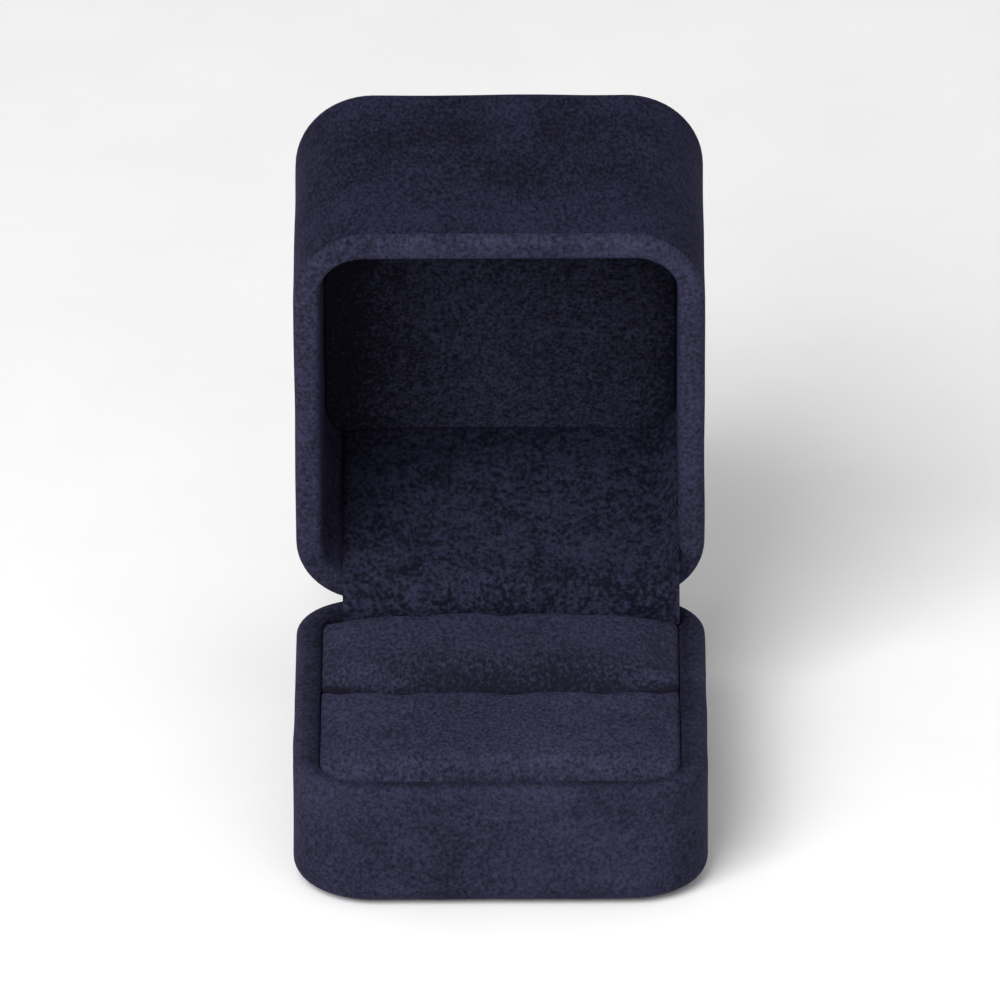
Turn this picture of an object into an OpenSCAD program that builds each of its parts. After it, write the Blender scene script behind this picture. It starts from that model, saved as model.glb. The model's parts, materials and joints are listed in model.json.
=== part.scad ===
// Ring box with a snap-hinged lid, modelled open.
// Origin: centre of the base's underside. +Z up, +Y towards the hinge, +X to the right.

/* [Box] */
// Width of the box, across the hinge
box_w = 55; // [50:1:65]
// Depth of the box, front to hinge
box_d = 59.5; // [54:0.5:68]
// Height of the base, from the table to the split
base_h = 17.5; // [16:0.5:24]
// Height of the lid, from the split to its top
lid_h = 37; // [30:0.5:42]
// Outer corner radius seen from above
corner_r = 10; // [9:0.5:12]
// Edge radius round the base's underside
base_edge_r = 2.5; // [2:0.25:3]
// Edge radius round the lid's top
lid_edge_r = 3.5; // [2:0.25:4]

/* [Walls] */
// Thickness of the moulded side walls
shell_t = 2; // [1.8:0.1:2.4]
// Thickness of the suede with its glue line
wrap_t = 0.75; // [0.6:0.05:0.8]
// Thickness of the base shell's floor
floor_t = 3; // [1.5:0.1:3]
// Thickness of the lid shell's top
top_t = 1.6; // [1.2:0.1:2.4]
// Radius of the rim's outer edge, over the suede
rim_outer_r = 1.4; // [1.3:0.05:1.5]
// Radius of the rim's inner edge, over the suede
rim_inner_r = 0.95; // [0.85:0.05:1.1]
// Gap from each rim to the split, when closed
rim_gap = 0.05; // [0.04:0.01:0.1]

/* [Hinge] */
// Opening angle of the lid at its stop
open_angle = 80; // [70:1:80]
// Hinge axis, in from the outer face of the back wall
axis_inset = 0.9; // [0.85:0.05:0.95]
// Radius of the hinge pin
pin_r = 0.4; // [0.3:0.05:0.4]
// Outer radius of the hinge knuckles
knuckle_r = 0.8; // [0.7:0.05:0.8]
// Running clearance of the lid's knuckles on the pin
pin_clearance = 0.06; // [0.04:0.01:0.08]
// Thickness of the hinge leaves
leaf_t = 0.4; // [0.3:0.05:0.4]
// Width of the hinge leaves
leaf_w = 26; // [24:1:28]
// Height of each leaf, from the split
leaf_h = 6.8; // [6:0.1:7]
// Width of the snap spring's strip
spring_w = 9; // [6:0.5:10]
// Thickness of the snap spring's strip
spring_t = 0.3; // [0.2:0.05:0.3]

/* [Insert] */
// Ring slit, back from the middle of the box
slit_y = 2; // [-1:0.5:3]
// Width of the ring slit
slit_w = 0.4; // [0.3:0.1:1]
// Drop from the rim to the flat of the cushions
cushion_drop = 0.4; // [0.2:0.1:1]
// Radius of the cushions' top edges
cushion_edge_r = 2.4; // [1.5:0.1:3]
// Thickness of the suede over the cushions
cover_t = 0.7; // [0.5:0.1:0.9]
// Thickness of the board under the cushions
board_t = 1.2; // [0.8:0.1:1.6]

/* [Linings] */
// Thickness of the card inside the lid's top
card_t = 0.8; // [0.6:0.1:1]
// Thickness of the lining suede
lining_t = 0.6; // [0.5:0.05:0.6]
// Thickness of the card behind the hinge liner
back_card_t = 1.2; // [1:0.1:1.2]
// Width of the hinge liner
liner_w = 41.6; // [36:0.2:41.6]

/* [Hidden] */
$fn = 48;

suede = [0.17, 0.16, 0.24];
lining = [0.13, 0.13, 0.20];
moulded = [0.12, 0.12, 0.13];
card = [0.30, 0.29, 0.30];
foam = [0.42, 0.42, 0.45];
steel = [0.62, 0.63, 0.66];

slack = 0.1;
wall_t = shell_t + 2 * wrap_t;
axis_y = box_d / 2 - axis_inset;

// The foot panel stands this far below the wrap, so it alone meets the table
foot = 0.5;
// The wrap is turned in under the base by this much past the edge radius
turn_under = 2.5;
base_wall_h = base_h - foot;
base_floor_z = foot + wrap_t + floor_t;
lid_ceiling_z = base_h + lid_h - wrap_t - top_t;
lining_z = lid_ceiling_z - card_t - lining_t;

// Over-centre linkage: the spring is hooked this far inside the axis ...
hook_in = 1;
// ... and this far from the split, so that it is as short at the stop as when closed
hook_out = hook_in * (sin(open_angle) + sqrt(2 - 2 * cos(open_angle))) / (1 - cos(open_angle));
rod_r = 0.35;
bow_depth = hook_in + pin_r + 0.4;
bow_r = (hook_out * hook_out + bow_depth * bow_depth) / (2 * bow_depth);
// The rigid spring falls short of the lid's hook by this much in mid travel
hook_stretch = 0.5;
leaf_in = axis_inset + knuckle_r;
leaf_out = leaf_in - leaf_t;
knuckle_notch = 1;
pocket_w = leaf_w + 0.4;
pocket_h = leaf_h + 0.2;
window_w = spring_w + 0.4;
window_margin = 0.1;
knuckle_w = 3;
base_knuckle_x = leaf_w / 2 - knuckle_w / 2;
lid_knuckle_x = base_knuckle_x - knuckle_w - 0.2;
rivet_r = 0.5;
rivet_head_r = 0.9;
rivet_head_t = 0.35;
rivet_x = 9;
rivet_h = 5.2;

cushion_top = base_h - cushion_drop;
cushion_bottom = base_floor_z + board_t;
cushion_inset = wall_t + 0.25;
liner_in = wall_t + back_card_t;
liner_r = liner_in + lining_t / 2 - axis_inset;
tail_bottom = 6;

// Points along an arc, from angle a to angle b
function arc(x, y, r, a, b, steps = 6) =
    [for (i = [0 : steps]) [x + r * cos(a + (b - a) * i / steps), y + r * sin(a + (b - a) * i / steps)]];

// Wall sections are [distance in from the outer face, distance from the split].

// Suede section: outer face, over the rim, and down the inner face to the depth given
function wrap_section(wall_h, edge_r, turn, inner_h) = concat(
    arc(rim_outer_r, rim_gap + rim_outer_r, rim_outer_r, 180, 270),
    arc(wall_t - rim_inner_r, rim_gap + rim_inner_r, rim_inner_r, 270, 360),
    [[wall_t, inner_h], [wall_t - wrap_t, inner_h]],
    arc(wall_t - rim_inner_r, rim_gap + rim_inner_r, rim_inner_r - wrap_t, 360, 270),
    arc(rim_outer_r, rim_gap + rim_outer_r, rim_outer_r - wrap_t, 270, 180),
    arc(edge_r, wall_h - edge_r, edge_r - wrap_t, 180, 90),
    [[edge_r + turn, wall_h - wrap_t], [edge_r + turn, wall_h]],
    arc(edge_r, wall_h - edge_r, edge_r, 90, 180));

// Moulded section: the wall, with a strip of the floor or top
function shell_section(wall_h, edge_r, plate_t) = concat(
    arc(rim_outer_r, rim_gap + rim_outer_r, rim_outer_r - wrap_t, 180, 270),
    arc(wall_t - rim_inner_r, rim_gap + rim_inner_r, rim_inner_r - wrap_t, 270, 360),
    [[wall_t - wrap_t, wall_h - wrap_t - plate_t], [edge_r + 2, wall_h - wrap_t - plate_t],
     [edge_r + 2, wall_h - wrap_t]],
    arc(edge_r, wall_h - edge_r, edge_r - wrap_t, 90, 180));

// Outline of the box seen from above, moved in by inset
module plan(inset) {
    r = corner_r - inset;
    x = box_w / 2 - corner_r;
    y = box_d / 2 - corner_r;
    for (sx = [-1, 1], sy = [-1, 1]) {
        translate([sx * x, sy * y]) circle(r);
    }
    square([2 * x + 2 * r, 2 * y], center = true);
    square([2 * x, 2 * y + 2 * r], center = true);
}

module plate(inset, z, t) {
    translate([0, 0, z]) linear_extrude(t) plan(inset);
}

// Sweep a wall section round the plan, downwards (side = -1) or upwards (side = 1) from the split
module wall(section, side) {
    points = [for (p = section) [p[0], base_h + side * p[1]]];
    for (turn = [0 : 3]) {
        odd = turn % 2;
        long = (odd == 0 ? box_w : box_d) - 2 * corner_r;
        reach = (odd == 0 ? box_d : box_w) / 2;
        rotate([0, 0, 90 * turn])
            translate([-long / 2, -reach, 0]) rotate([90, 0, 90]) linear_extrude(long) polygon(points);
        rotate([0, 0, 90 * turn]) translate([long / 2, corner_r - reach, 0]) rotate([0, 0, -90])
            rotate_extrude(angle = 90) polygon([for (p = points) [corner_r - p[0], p[1]]]);
    }
}

// Turn a part that is drawn closed to where the open lid holds it
module on_lid() {
    translate([0, axis_y, base_h]) rotate([-open_angle, 0, 0]) translate([0, -axis_y, -base_h])
        children();
}

// A bar along X, centred, drawn by its inward and from-split distances on the back wall
module back_bar(w, from_in, to_in, from_h, to_h, side) {
    low = side < 0 ? base_h - to_h : base_h + from_h;
    translate([-w / 2, box_d / 2 - to_in, low]) cube([w, to_in - from_in, to_h - from_h]);
}

module back_rod(w, r, in, h, side) {
    translate([-w / 2, box_d / 2 - in, base_h + side * h]) rotate([0, 90, 0]) cylinder(h = w, r = r);
}

// Rivet shanks or their holes, through the leaf and the skin of the wall behind it
module rivet_shanks(side) {
    for (x = [-rivet_x, rivet_x]) {
        translate([x, box_d / 2 - leaf_in, base_h + side * rivet_h])
            rotate([-90, 0, 0]) cylinder(h = leaf_in - wrap_t, r = rivet_r);
    }
}

// Recess for the hinge: a pocket for the leaf and spring, and a notch in the rim for the knuckles
module hinge_pocket(side) {
    back_bar(pocket_w, leaf_out, wall_t + 1, -1, pocket_h, side);
    back_bar(pocket_w, -1, wall_t, -1, knuckle_notch, side);
}

module leaf(side, knuckle_x, bore_r, window_near) {
    window_far = hook_out + rod_r + window_margin;
    difference() {
        union() {
            back_bar(leaf_w, leaf_out, leaf_in, knuckle_notch + slack, leaf_h, side);
            for (x = [-knuckle_x, knuckle_x]) {
                translate([x, 0, 0]) back_bar(knuckle_w, leaf_out, leaf_in, 0, knuckle_notch + slack, side);
                translate([x, 0, 0]) back_rod(knuckle_w, knuckle_r, axis_inset, 0, side);
            }
        }
        back_rod(leaf_w + 1, bore_r, axis_inset, 0, side);
        back_bar(window_w, leaf_out - 1, leaf_in + 1, window_near, window_far, side);
        rivet_shanks(side);
    }
}

module rivets(side) {
    rivet_shanks(side);
    for (x = [-rivet_x, rivet_x]) {
        translate([x, box_d / 2 - leaf_in, base_h + side * rivet_h])
            rotate([90, 0, 0]) cylinder(h = rivet_head_t, r = rivet_head_r);
    }
}

// A cushion block from y0 to y1, rounded on its top edges and to the plan of the base
module cushion(y0, y1, grow) {
    r = cushion_edge_r + grow;
    top = cushion_top + grow;
    section = concat([[y0 - grow, cushion_bottom]], arc(y0 - grow + r, top - r, r, 180, 90),
        arc(y1 + grow - r, top - r, r, 90, 0), [[y1 + grow, cushion_bottom]]);
    intersection() {
        translate([-box_w / 2, 0, 0]) rotate([90, 0, 90]) linear_extrude(box_w) polygon(section);
        plate(cushion_inset - grow, cushion_bottom, base_h);
    }
}

module front_cushion(grow) {
    cushion(cushion_inset - box_d / 2, slit_y - slit_w / 2, grow);
}

module rear_cushion(grow) {
    cushion(slit_y + slit_w / 2, box_d / 2 - liner_in - lining_t - 0.3, grow);
}

module base_shell() {
    color(moulded) difference() {
        union() {
            wall(shell_section(base_wall_h, base_edge_r, floor_t), -1);
            plate(base_edge_r + 1, foot + wrap_t, floor_t);
        }
        hinge_pocket(-1);
        rivet_shanks(-1);
    }
}

module base_wrap() {
    color(suede) difference() {
        wall(wrap_section(base_wall_h, base_edge_r, turn_under, base_h - base_floor_z), -1);
        hinge_pocket(-1);
    }
}

module base_foot_panel() {
    color(suede) plate(base_edge_r + turn_under + slack, 0, foot + wrap_t);
}

module insert_board() {
    color(card) plate(cushion_inset, base_floor_z, board_t);
}

module front_cushion_foam() {
    color(foam) front_cushion(-cover_t);
}

module front_cushion_cover() {
    color(suede) difference() {
        front_cushion(0);
        front_cushion(-cover_t);
    }
}

module rear_cushion_foam() {
    color(foam) rear_cushion(-cover_t);
}

module rear_cushion_cover() {
    color(suede) difference() {
        rear_cushion(0);
        rear_cushion(-cover_t);
    }
}

module base_hinge_leaf() {
    color(steel) leaf(-1, base_knuckle_x, pin_r, hook_out - rod_r - window_margin);
}

module base_hinge_rivets() {
    color(steel) rivets(-1);
}

module hinge_pin() {
    color(steel) back_rod(leaf_w, pin_r, axis_inset, 0, 1);
}

// A bowed strip with a round rod at each end, half way round between base and lid
module snap_spring() {
    sweep = asin(hook_out / bow_r);
    bow = concat(arc(bow_r - bow_depth, hook_out, bow_r + spring_t / 2, 180 + sweep, 180 - sweep, 16),
        arc(bow_r - bow_depth, hook_out, bow_r - spring_t / 2, 180 - sweep, 180 + sweep, 16));
    color(steel) translate([-spring_w / 2, axis_y - hook_in, base_h - hook_out])
        rotate([-open_angle / 2, 0, 0]) rotate([90, 0, 90]) {
            linear_extrude(spring_w) polygon(bow);
            cylinder(h = spring_w, r = rod_r);
            translate([0, 2 * hook_out, 0]) cylinder(h = spring_w, r = rod_r);
        }
}

module lid_hinge_leaf() {
    color(steel) on_lid()
        leaf(1, lid_knuckle_x, pin_r + pin_clearance, hook_out - rod_r - hook_stretch);
}

module lid_hinge_rivets() {
    color(steel) on_lid() rivets(1);
}

module lid_shell() {
    color(moulded) on_lid() difference() {
        union() {
            wall(shell_section(lid_h, lid_edge_r, top_t), 1);
            plate(lid_edge_r + 1, lid_ceiling_z, top_t);
        }
        hinge_pocket(1);
        rivet_shanks(1);
    }
}

module lid_wrap() {
    color(suede) on_lid() difference() {
        union() {
            wall(wrap_section(lid_h, lid_edge_r, 2, lid_ceiling_z - base_h), 1);
            plate(lid_edge_r + 1, base_h + lid_h - wrap_t, wrap_t);
        }
        hinge_pocket(1);
    }
}

module lid_top_card() {
    color(card) on_lid() plate(wall_t + slack, lid_ceiling_z - card_t, card_t);
}

module lid_top_lining() {
    color(lining) on_lid() plate(wall_t + slack, lining_z, lining_t);
}

module lid_back_card() {
    flat_w = box_w - 2 * corner_r - slack;
    color(card) on_lid()
        back_bar(flat_w, wall_t, liner_in, pocket_h + 0.5, lining_z - base_h - slack, 1);
}

// The suede flap: down behind the rear cushion, round the hinge, and up the lid's back wall.
// Its section is drawn from the hinge axis, [backwards, up].
module hinge_liner() {
    half_t = lining_t / 2;
    far = lining_z - base_h - slack;
    up_lid = [far * sin(open_angle), far * cos(open_angle)];
    at_lid = [-cos(open_angle), sin(open_angle)];
    section = concat(
        [[-liner_r - half_t, tail_bottom - base_h]],
        arc(0, 0, liner_r + half_t, 180, 180 - open_angle, 10),
        [(liner_r + half_t) * at_lid + up_lid, (liner_r - half_t) * at_lid + up_lid],
        arc(0, 0, liner_r - half_t, 180 - open_angle, 180, 10),
        [[half_t - liner_r, tail_bottom - base_h]]);
    color(lining) translate([-liner_w / 2, axis_y, base_h]) rotate([90, 0, 90])
        linear_extrude(liner_w) polygon(section);
}

base_shell();
base_wrap();
base_foot_panel();
insert_board();
front_cushion_foam();
front_cushion_cover();
rear_cushion_foam();
rear_cushion_cover();
base_hinge_leaf();
base_hinge_rivets();
hinge_pin();
snap_spring();
lid_hinge_leaf();
lid_hinge_rivets();
lid_shell();
lid_wrap();
lid_top_card();
lid_top_lining();
lid_back_card();
hinge_liner();
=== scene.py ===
"""The looks of a suede ring box that stands open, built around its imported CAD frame."""
import json
import logging
import math
from collections.abc import Callable
from dataclasses import dataclass, field
from enum import Enum

import bmesh
import bpy
import numpy as np
from mathutils import Matrix, Vector, noise


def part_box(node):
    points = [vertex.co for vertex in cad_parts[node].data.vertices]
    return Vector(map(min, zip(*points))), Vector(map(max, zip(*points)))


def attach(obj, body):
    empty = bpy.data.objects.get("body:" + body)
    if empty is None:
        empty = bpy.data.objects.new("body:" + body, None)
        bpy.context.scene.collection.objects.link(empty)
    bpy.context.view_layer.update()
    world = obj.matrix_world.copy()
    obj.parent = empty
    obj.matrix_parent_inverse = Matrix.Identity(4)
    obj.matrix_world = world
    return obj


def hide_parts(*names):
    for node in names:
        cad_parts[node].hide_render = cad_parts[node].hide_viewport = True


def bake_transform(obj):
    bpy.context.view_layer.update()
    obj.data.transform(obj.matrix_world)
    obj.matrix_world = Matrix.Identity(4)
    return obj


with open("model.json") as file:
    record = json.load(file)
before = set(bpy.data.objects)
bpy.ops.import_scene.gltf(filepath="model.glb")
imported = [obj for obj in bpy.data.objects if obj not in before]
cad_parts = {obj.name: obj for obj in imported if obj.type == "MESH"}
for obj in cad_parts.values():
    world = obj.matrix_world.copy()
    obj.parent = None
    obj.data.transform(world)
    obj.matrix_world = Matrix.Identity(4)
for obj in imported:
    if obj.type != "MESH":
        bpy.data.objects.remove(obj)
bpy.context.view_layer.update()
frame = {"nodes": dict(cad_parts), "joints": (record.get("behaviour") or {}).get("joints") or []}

log = logging.getLogger("ring_box")

MM = 0.001
Point = tuple[float, float]
Point3 = tuple[float, float, float]


# ---------------------------------------------------------------- small helpers


def linear(hex_colour: str) -> tuple[float, float, float, float]:
    """Turn an sRGB hex colour into linear light.

    Args:
        hex_colour: six hex digits with a leading hash.

    Returns:
        Linear red, green, blue and an alpha of one.
    """
    shades = [int(hex_colour[i : i + 2], 16) / 255 for i in (1, 3, 5)]
    light = [s / 12.92 if s <= 0.04045 else ((s + 0.055) / 1.055) ** 2.4 for s in shades]
    return (*light, 1.0)


def scaled(colour: tuple[float, ...], factor: float) -> tuple[float, ...]:
    """Make a linear colour darker or lighter by a factor, its alpha kept."""
    return (*(c * factor for c in colour[:3]), colour[3])


def add_node(
    material: bpy.types.Material, kind: str, settings: dict | None = None, links: dict | None = None
) -> bpy.types.ShaderNode:
    """Add a shader node with its settings and the links into it.

    Args:
        material: the material that the node goes into.
        kind: Blender's name for the node.
        settings: socket names, socket numbers or node properties, and their values.
        links: socket names or numbers, and the output sockets that feed them.

    Returns:
        The new node.
    """
    tree = material.node_tree
    made = tree.nodes.new(kind)
    for key, value in (settings or {}).items():
        if isinstance(key, str) and hasattr(made, key):
            setattr(made, key, value)
        else:
            made.inputs[key].default_value = value
    for key, socket in (links or {}).items():
        tree.links.new(socket, made.inputs[key])
    return made


def add_grain(
    material: bpy.types.Material,
    place: bpy.types.NodeSocket,
    size_mm: float,
    detail: float,
    roughness: float,
    distortion: float = 0.0,
) -> bpy.types.NodeSocket:
    """Add a noise pattern of a real size.

    Args:
        material: the material that it goes into.
        place: the coordinates that it is laid by, in metres.
        size_mm: how wide its marks are, in millimetres.
        detail: how many finer patterns lie over it.
        roughness: how strong those are.
        distortion: how much it swirls.

    Returns:
        The socket with its value.
    """
    scale = 1 / (size_mm * MM)
    settings = {"Scale": scale, "Detail": detail, "Roughness": roughness, "Distortion": distortion}
    return add_node(material, "ShaderNodeTexNoise", settings, {"Vector": place}).outputs["Fac"]


def new_material(name: str) -> bpy.types.Material:
    """Make an empty node material."""
    material = bpy.data.materials.new(name)
    material.use_nodes = True
    material.node_tree.nodes.clear()
    return material


def dress(piece: bpy.types.Object, material: bpy.types.Material) -> None:
    """Give every face of a piece one material."""
    piece.data.materials.clear()
    piece.data.materials.append(material)


def new_piece(name: str, points: list, faces: list, smooth: bool = True) -> bpy.types.Object:
    """Make a mesh object and link it to the scene.

    Args:
        name: the piece's name.
        points: its vertices, in metres.
        faces: its faces, as lists of vertex numbers.
        smooth: whether it is shaded smooth.

    Returns:
        The new object.
    """
    mesh = bpy.data.meshes.new(name)
    mesh.from_pydata([tuple(p) for p in points], [], faces)
    mesh.validate()
    shape = bmesh.new()
    shape.from_mesh(mesh)
    bmesh.ops.recalc_face_normals(shape, faces=shape.faces)
    shape.to_mesh(mesh)
    shape.free()
    piece = bpy.data.objects.new(name, mesh)
    bpy.context.scene.collection.objects.link(piece)
    if smooth:
        mesh.shade_smooth()
    return piece


def apply_modifiers(piece: bpy.types.Object) -> None:
    """Replace a piece's mesh by what its modifiers make of it."""
    graph = bpy.context.evaluated_depsgraph_get()
    made = bpy.data.meshes.new_from_object(piece.evaluated_get(graph))
    piece.modifiers.clear()
    piece.data = made


def arc(centre: Point, radius: float, start: float, end: float, steps: int) -> list[Point]:
    """Points along an arc.

    Args:
        centre: the arc's centre.
        radius: its radius.
        start: the angle in degrees that it starts at.
        end: the angle in degrees that it ends at.
        steps: how many stretches it is drawn with.

    Returns:
        The points, both ends included.
    """
    angles = [math.radians(start + (end - start) * i / steps) for i in range(steps + 1)]
    return [(centre[0] + radius * math.cos(a), centre[1] + radius * math.sin(a)) for a in angles]


def stretch(start: Point, end: Point, spacing: float) -> list[Point]:
    """Points evenly along a straight line, its two ends left out."""
    count = max(1, round(math.dist(start, end) / spacing))
    return [tuple(a + (b - a) * i / count for a, b in zip(start, end)) for i in range(1, count)]


def paint_shade_and_highlight(piece: bpy.types.Object, painted_light: Callable[[Vector], float]) -> None:
    """Paint shade and highlight into a piece's suede colour, kept as its "nap" values.

    Args:
        piece: the piece, in the place where its shade and highlight are painted.
        painted_light: gives for a point its painted light: below zero is painted shade, above is painted
            highlight.
    """
    values = piece.data.attributes.new("nap", "FLOAT", "POINT")
    values.data.foreach_set("value", [painted_light(v.co) for v in piece.data.vertices])


def ripple(point: Vector, size: float, seed: float) -> float:
    """A soft random height from about -1 to 1 that changes over the size given, in metres."""
    return noise.noise(Vector(point) / size + Vector((seed, -seed, 2 * seed)))


def roughen(piece: bpy.types.Object, height: float, size: float, seed: float, still: float) -> None:
    """Move a piece's surface in and out a little, as cloth lies over glue and board.

    Args:
        piece: the piece.
        height: how far it moves at most, in metres.
        size: how wide each rise is, in metres.
        seed: what sets this piece's own pattern.
        still: the height at which it closes on its neighbour, and isn't moved.
    """
    normals = [v.normal.copy() for v in piece.data.vertices]
    for vertex, normal in zip(piece.data.vertices, normals):
        free = min(1.0, abs(vertex.co.z - still) / (1.5 * MM))
        vertex.co += normal * height * free * ripple(vertex.co, size, seed)


# ---------------------------------------------------------------- finishes


@dataclass(frozen=True)
class Suede:
    """Brushed microfibre suede: a polyester nap, ground and brushed, whose colour is mottled and carries
    painted shade and highlight where its nap would look darker or lighter, so it never shows as one flat
    colour."""

    name: str
    shade: str
    patch_mm: float = 13.0
    stroke_mm: float = 2.4
    # The real fibre is about 0.02 mm; it is drawn as tufts this wide so that it still shows
    tuft_mm: float = 0.55
    # How much longer than wide the brush strokes are, across the piece
    stroke_length: float = 1.4
    # Shares of the patches, strokes and tufts in the colour
    patch_share: float = 0.55
    stroke_share: float = 0.45
    tuft_share: float = 1.5
    # How much darker and lighter than its shade the colour gets at the two ends of its ramp, where the
    # mottling and the painted shade and highlight push it
    low: float = 0.35
    high: float = 1.75
    nap_depth_mm: float = 0.16
    sheen: float = 0.15
    sheen_tint: str = "#55527c"

    def material(self) -> bpy.types.Material:
        """Build the suede's material.

        Returns:
            A material with patches, strokes and tufts mottling its colour, and tufts in its bump. A piece's
            own "nap" values, if it has any, add painted shade and highlight to its colour.
        """
        made = new_material(self.name)
        place = add_node(made, "ShaderNodeTexCoord").outputs["Object"]
        # The nap is brushed front to back, so tufts are drawn out that way
        drawn = add_node(made, "ShaderNodeMapping", {"Scale": (1, 0.62, 1)}, {"Vector": place})
        drawn = drawn.outputs["Vector"]
        across = add_node(
            made, "ShaderNodeMapping", {"Scale": (1 / self.stroke_length, 1, 1)}, {"Vector": drawn}
        )
        patches = add_grain(made, place, self.patch_mm, 2.0, 0.5, 0.5)
        strokes = add_grain(made, across.outputs["Vector"], self.stroke_mm, 3.0, 0.6, 0.8)
        tufts = add_grain(made, drawn, self.tuft_mm, 2.0, 0.65)
        shares = (self.patch_share, self.stroke_share, self.tuft_share)
        # The "nap" attribute holds painted shade and highlight, added to the level that picks the colour
        brushed = add_node(made, "ShaderNodeAttribute", {"attribute_name": "nap"})
        level = add_node(
            made,
            "ShaderNodeMath",
            {"operation": "ADD", 0: 0.5 - sum(shares) / 2},
            {1: brushed.outputs["Fac"]},
        )
        for share, source in zip(shares, (patches, strokes, tufts)):
            level = add_node(
                made,
                "ShaderNodeMath",
                {"operation": "MULTIPLY_ADD", 1: share},
                {0: source, 2: level.outputs[0]},
            )
        shade = add_node(made, "ShaderNodeValToRGB", {}, {"Fac": level.outputs[0]})
        ramp = shade.color_ramp
        ramp.elements[0].position = 0.2
        ramp.elements[0].color = scaled(linear(self.shade), self.low)
        ramp.elements[1].position = 0.8
        ramp.elements[1].color = scaled(linear(self.shade), self.high)
        ramp.elements.new(0.5).color = linear(self.shade)
        nap = add_node(
            made,
            "ShaderNodeMath",
            {"operation": "MULTIPLY_ADD", 1: 0.5},
            {0: strokes, 2: tufts},
        )
        bump = add_node(
            made,
            "ShaderNodeBump",
            {"Strength": 0.8, "Distance": self.nap_depth_mm * MM},
            {"Height": nap.outputs[0]},
        )
        skin = add_node(
            made,
            "ShaderNodeBsdfPrincipled",
            {
                "Roughness": 0.95,
                "IOR": 1.45,
                "Specular IOR Level": 0.08,
                "Sheen Weight": self.sheen,
                "Sheen Roughness": 0.45,
                "Sheen Tint": linear(self.sheen_tint),
            },
            {"Base Color": shade.outputs["Color"], "Normal": bump.outputs["Normal"]},
        )
        add_node(made, "ShaderNodeOutputMaterial", {}, {"Surface": skin.outputs["BSDF"]})
        return made


@dataclass(frozen=True)
class Plain:
    """A hard or plain material with a grain: its colour wanders a little and its grain stands in the bump."""

    name: str
    shade: str
    second: str
    roughness: float
    grain_mm: float
    grain_depth_mm: float
    metallic: float = 0.0
    # The grain's stretch along X, as brushing or rolling leaves it
    stretch_x: float = 1.0

    def material(self) -> bpy.types.Material:
        """Build the material.

        Returns:
            A material with two close shades, a grain and a constant roughness.
        """
        made = new_material(self.name)
        place = add_node(made, "ShaderNodeTexCoord").outputs["Object"]
        along = add_node(
            made, "ShaderNodeMapping", {"Scale": (1 / self.stretch_x, 1, 1)}, {"Vector": place}
        )
        grain = add_grain(made, along.outputs["Vector"], self.grain_mm, 4.0, 0.6)
        shade = add_node(made, "ShaderNodeValToRGB", {}, {"Fac": grain})
        shade.color_ramp.elements[0].position = 0.35
        shade.color_ramp.elements[0].color = linear(self.shade)
        shade.color_ramp.elements[1].position = 0.65
        shade.color_ramp.elements[1].color = linear(self.second)
        bump = add_node(
            made,
            "ShaderNodeBump",
            {"Strength": 0.6, "Distance": self.grain_depth_mm * MM},
            {"Height": grain},
        )
        skin = add_node(
            made,
            "ShaderNodeBsdfPrincipled",
            {"Roughness": self.roughness, "Metallic": self.metallic},
            {"Base Color": shade.outputs["Color"], "Normal": bump.outputs["Normal"]},
        )
        add_node(made, "ShaderNodeOutputMaterial", {}, {"Surface": skin.outputs["BSDF"]})
        return made


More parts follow.
